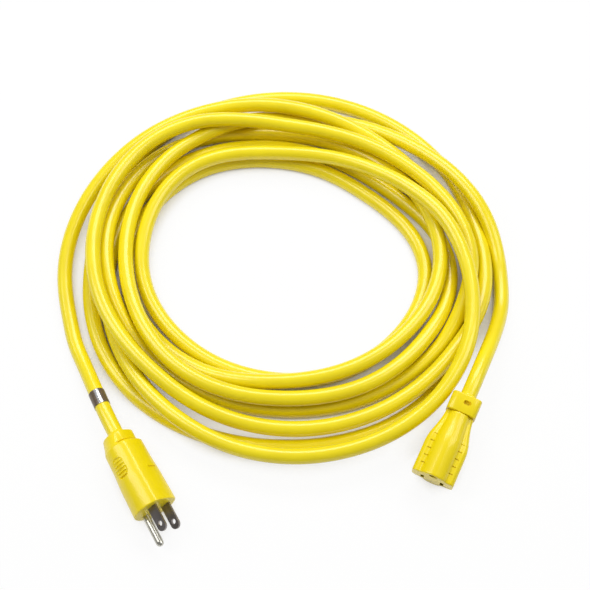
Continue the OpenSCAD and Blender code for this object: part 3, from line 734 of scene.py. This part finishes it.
JACKET = moulded("jacket_yellow", srgb(240, 219, 2), srgb(246, 226, 6), 0.45, 0.05, coat=1.0, twisted=True)
MOULDING = moulded("moulding_yellow", srgb(242, 217, 1), srgb(247, 223, 4), 0.4, 0.08, coat=0.7)
BRIDGE = moulded("bridge_black", srgb(30, 30, 32), srgb(44, 44, 46), 0.5, 0.3)
# painted shade: the contact carrier is coloured dark brown so that the openings in the connector's face look dark
# inside
CARRIER_PAINTED_SHADE = moulded("carrier_painted_shade_brown", srgb(52, 44, 36), srgb(68, 58, 48), 0.5, 0.3)
BLACK = moulded("wire_black", srgb(22, 22, 23), srgb(34, 34, 35), 0.4, 0.1)
WHITE = moulded("wire_white", srgb(228, 228, 222), srgb(240, 240, 236), 0.4, 0.1)
GREEN = moulded("wire_green", srgb(18, 110, 50), srgb(26, 130, 62), 0.4, 0.1)
FOIL = plated("foil_silver", srgb(170, 172, 175), srgb(215, 216, 218), 0.3, 500.0)
BLADE = plated("blade_nickel", srgb(128, 122, 120), srgb(164, 157, 154), 0.3)
PIN = plated("pin_nickel", srgb(188, 186, 176), srgb(222, 220, 208), 0.3)
CONTACT = plated("contact_brass", srgb(92, 74, 40), srgb(118, 96, 56), 0.4)
COPPER = plated("strands_copper", srgb(184, 108, 66), srgb(208, 132, 86), 0.35)

BY_NODE = {
    "cord_coil": JACKET, "plug_lead": JACKET, "connector_lead": JACKET, "foil_label": FOIL,
    # the contact carrier takes the dark brown of painted shade
    "plug_body": MOULDING, "connector_body": MOULDING, "blade_bridge": BRIDGE, "contact_carrier": CARRIER_PAINTED_SHADE,
    "line_blade": BLADE, "neutral_blade": BLADE, "ground_pin": PIN,
    "line_contact": CONTACT, "neutral_contact": CONTACT, "ground_contact": CONTACT,
}
for end in ("plug", "connector"):
    BY_NODE[end + "_line_wire"] = BLACK
    BY_NODE[end + "_neutral_wire"] = WHITE
    BY_NODE[end + "_ground_wire"] = GREEN
    for wire in ("line", "neutral", "ground"):
        BY_NODE[f"{end}_{wire}_strands"] = COPPER
for node, material in BY_NODE.items():
    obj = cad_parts[node]
    obj.data.materials.clear()
    obj.data.materials.append(material)

# ---- The two mouldings ---------------------------------------------------------------------
plug = make_plug_moulding()
connector = make_connector_moulding()
for piece, node in ((plug, "plug_body"), (connector, "connector_body")):
    piece.data.materials.append(MOULDING)
    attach(piece, "root")
    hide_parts(node)

# ---- The cord ------------------------------------------------------------------------------
line = cord_line()
cord = sweep("cord_jacket", line, CORD_D / 2 * MM, 24)
cord.data.materials.append(JACKET)
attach(cord, "root")
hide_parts("cord_coil", "plug_lead", "connector_lead")

# ---- The foil label ------------------------------------------------------------------------
def foil_material():
    """Bright film with two dark bands of painted shade along the cord on its upper flanks, a bright strip left
    between them along its top; the bands' edges are ragged.
    """
    n = Nodes("foil_painted_shade")
    where = n.add("ShaderNodeTexCoord")
    split = n.add("ShaderNodeSeparateXYZ")
    n.link(where.outputs["UV"], split.inputs["Vector"])
    ragged = n.add("ShaderNodeTexNoise", Scale=900.0, Detail=3.0)
    n.link(where.outputs["Object"], ragged.inputs["Vector"])
    shift = n.add("ShaderNodeMath", operation="MULTIPLY_ADD")
    shift.inputs[1].default_value = 0.03
    n.link(ragged.outputs["Fac"], shift.inputs[0])
    n.link(split.outputs["X"], shift.inputs[2])
    bands = n.add("ShaderNodeValToRGB")
    ramp = bands.color_ramp
    ramp.interpolation = "EASE"
    ramp.elements[0].position, ramp.elements[0].color = 0.0, (0, 0, 0, 1)
    ramp.elements[1].position, ramp.elements[1].color = 1.0, (0, 0, 0, 1)
    # the dark bands are painted shade on the film's upper flanks; between them a bright strip stays along the top
    for at, value in ((0.04, 0), (0.06, 1), (0.2, 1), (0.225, 0), (0.285, 0), (0.31, 1), (0.45, 1), (0.48, 0)):
        e = ramp.elements.new(at)
        e.color = (value, value, value, 1)
    n.link(shift.outputs[0], bands.inputs["Fac"])
    tint = n.add("ShaderNodeMix", data_type="RGBA")
    tint.inputs[6].default_value = srgb(226, 227, 229)
    # colour of the painted shade
    tint.inputs[7].default_value = srgb(104, 90, 74)
    n.link(bands.outputs["Color"], tint.inputs[0])
    n.link(tint.outputs[2], n.shader.inputs["Base Color"])
    metal = n.add("ShaderNodeMapRange")
    metal.inputs["To Min"].default_value = 0.85
    metal.inputs["To Max"].default_value = 0.25
    n.link(bands.outputs["Color"], metal.inputs["Value"])
    n.link(metal.outputs["Result"], n.shader.inputs["Metallic"])
    crease = n.add("ShaderNodeTexNoise", Scale=420.0, Detail=2.0)
    n.link(where.outputs["Object"], crease.inputs["Vector"])
    relief = n.add("ShaderNodeBump", Strength=0.25, Distance=0.0002)
    n.link(crease.outputs["Fac"], relief.inputs["Height"])
    n.link(relief.outputs["Normal"], n.shader.inputs["Normal"])
    n.set(Roughness=0.24)
    return n.mat


def make_foil():
    a, b = Vector(PLUG_ROUTE[0]), Vector(PLUG_ROUTE[1])
    middle = (a + b) / 2
    k = min(range(len(line)), key=lambda i: (line[i] / MM - middle).length)
    stretch = resample([p / MM for p in line[k - 4:k + 5]], 0.5)
    near = min(range(len(stretch)), key=lambda i: (stretch[i] - middle).length)
    stretch = stretch[near - 11:near + 12]
    bm = bmesh.new()
    uv = bm.loops.layers.uv.new("lay")
    sides, n = 72, len(stretch)
    r0 = CORD_D / 2 + GAP
    grid = []
    for i, p in enumerate(stretch):
        t = (stretch[min(i + 1, n - 1)] - stretch[max(i - 1, 0)]).normalized()
        side = t.cross(Vector((0, 0, 1))).normalized()
        up = side.cross(t)
        for layer, r in ((0, r0), (1, r0 + 0.25)):
            ring = []
            for j in range(sides):
                q = 2 * math.pi * j / sides
                # the film's end laps over its start along the underside
                lap = 0.1 * step((q - 4.4) / 0.08) if layer and q < 4.9 else 0.0
                wave = 0.03 * math.sin(5 * q + 0.9 * i) * math.sin(0.6 * i) if layer else 0.0
                ring.append(bm.verts.new((p + (r + lap + wave) * (math.cos(q) * side + math.sin(q) * up)) * MM))
            grid.append(ring)
    inner, outer = grid[0::2], grid[1::2]

    def skin(rings):
        for i in range(n - 1):
            for j in range(sides):
                k2 = (j + 1) % sides
                f = bm.faces.new((rings[i][j], rings[i][k2], rings[i + 1][k2], rings[i + 1][j]))
                f.smooth = True
                for loop, (ii, jj) in zip(f.loops, ((i, j), (i, j + 1), (i + 1, j + 1), (i + 1, j))):
                    loop[uv].uv = (jj / sides, ii / (n - 1))

    skin(inner)
    skin(outer)
    for e in (0, n - 1):
        for j in range(sides):
            k2 = (j + 1) % sides
            bm.faces.new((inner[e][j], inner[e][k2], outer[e][k2], outer[e][j]))
    bmesh.ops.recalc_face_normals(bm, faces=bm.faces)
    mesh = bpy.data.meshes.new("foil_wrap")
    bm.to_mesh(mesh)
    bm.free()
    return new_object("foil_wrap", mesh)


foil = make_foil()
foil.data.materials.append(foil_material())
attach(foil, "root")
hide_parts("foil_label")

# ---- Floor and light -----------------------------------------------------------------------
def seen_white(n):
    """1 for a ray from the camera, which sees the studio as white, and less for a mirrored one."""
    path = n.nodes.new("ShaderNodeLightPath")
    dimmed = n.nodes.new("ShaderNodeMath")
    dimmed.operation = "MULTIPLY"
    dimmed.inputs[1].default_value = 0.4
    n.links.new(path.outputs["Is Glossy Ray"], dimmed.inputs[0])
    most = n.nodes.new("ShaderNodeMath")
    most.operation = "MAXIMUM"
    n.links.new(path.outputs["Is Camera Ray"], most.inputs[0])
    n.links.new(dimmed.outputs[0], most.inputs[1])
    return most.outputs[0]


def make_floor():
    mesh = bpy.data.meshes.new("floor")
    s = 6.0
    mesh.from_pydata([(-s, -s, 0), (s, -s, 0), (s, s, 0), (-s, s, 0)], [], [(0, 1, 2, 3)])
    floor = new_object("floor", mesh)
    floor.location.z = -0.0002
    n = Nodes("floor_white")
    n.set(Roughness=0.9)
    n.shader.inputs["Base Color"].default_value = (0.9, 0.9, 0.9, 1.0)
    n.shader.inputs["Specular IOR Level"].default_value = 0.0
    glow = n.add("ShaderNodeEmission", Color=(1, 1, 1, 1), Strength=1.0)
    mix = n.add("ShaderNodeMixShader")
    # the floor is left in its own shadow where the cord closes it in
    close = n.add("ShaderNodeAmbientOcclusion", Distance=0.02)
    close.samples = 8
    open_floor = n.add("ShaderNodeMapRange")
    open_floor.inputs["From Min"].default_value = 0.2
    open_floor.inputs["From Max"].default_value = 0.62
    open_floor.inputs["To Max"].default_value = 0.92
    n.link(close.outputs["AO"], open_floor.inputs["Value"])
    share = n.add("ShaderNodeMath", operation="MULTIPLY")
    n.link(seen_white(n.tree), share.inputs[0])
    n.link(open_floor.outputs["Result"], share.inputs[1])
    n.link(share.outputs[0], mix.inputs[0])
    n.link(n.shader.outputs[0], mix.inputs[1])
    n.link(glow.outputs[0], mix.inputs[2])
    out = next(x for x in n.tree.nodes if x.type == "OUTPUT_MATERIAL")
    n.link(mix.outputs[0], out.inputs["Surface"])
    mesh.materials.append(n.mat)
    return floor


make_floor()


def area(name, at, size, power):
    """Lamp aimed at the origin."""
    lamp = bpy.data.lights.new(name, "AREA")
    lamp.shape = "RECTANGLE"
    lamp.size, lamp.size_y = size
    lamp.energy = power
    obj = bpy.data.objects.new(name, lamp)
    bpy.context.scene.collection.objects.link(obj)
    obj.location = at
    obj.rotation_euler = (-Vector(at)).to_track_quat("-Z", "Y").to_euler()
    return obj


area("back_box", (0.1, 0.8, 1.05), (1.0, 0.5), 8.7)
area("left_box", (-0.8, 0.05, 1.05), (0.48, 1.0), 6.8)
area("right_box", (0.85, 0.1, 1.0), (0.48, 1.0), 5.1)

world = bpy.data.worlds.new("studio")
bpy.context.scene.world = world
world.use_nodes = True
wt = world.node_tree
bg = next(n for n in wt.nodes if n.type == "BACKGROUND")
bg.inputs["Color"].default_value = (1, 1, 1, 1)
# the camera sees white; the object mirrors a studio a little dimmer than the one that lights it
path = wt.nodes.new("ShaderNodeLightPath")
level = wt.nodes.new("ShaderNodeMath")
level.operation = "MULTIPLY_ADD"
level.inputs[1].default_value = -0.04
level.inputs[2].default_value = 0.28
wt.links.new(path.outputs["Is Glossy Ray"], level.inputs[0])
white = wt.nodes.new("ShaderNodeMath")
white.operation = "MAXIMUM"
wt.links.new(path.outputs["Is Camera Ray"], white.inputs[0])
wt.links.new(level.outputs[0], white.inputs[1])
wt.links.new(white.outputs[0], bg.inputs["Strength"])

scene = bpy.context.scene
scene.view_settings.view_transform = "Standard"
